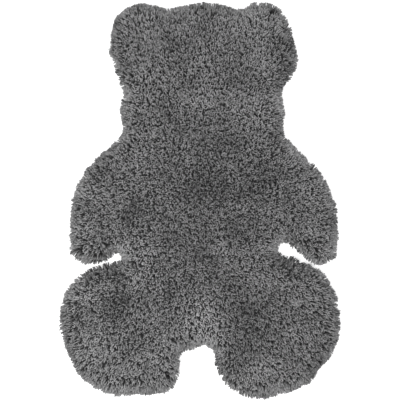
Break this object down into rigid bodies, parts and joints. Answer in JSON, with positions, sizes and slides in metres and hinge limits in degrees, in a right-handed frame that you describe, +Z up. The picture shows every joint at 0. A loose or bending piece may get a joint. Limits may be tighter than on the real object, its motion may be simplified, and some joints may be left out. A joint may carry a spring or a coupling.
{
  "type": "bear-shaped shag rug",
  "caption": "Flat child's rug cut to the outline of a bear with ears, arms and legs, with a deep lumpy pile whose locks lean out over its rim.",
  "frame": {"origin": "on the floor, at the middle of the rug's width and length", "axes": "+Z up from the floor, +Y along the length towards the head, +X across it, to the right as seen from above"},
  "size_m": [0.9986, 1.4166, 0.0377],
  "materials": {
    "pile": "matte grey shag yarn with a slight sheen",
    "backing": "plain woven backing cloth, matte"
  },
  "bodies": {
    "root": {"pile": "pile", "backing": "backing"}
  },
  "joints": []
}
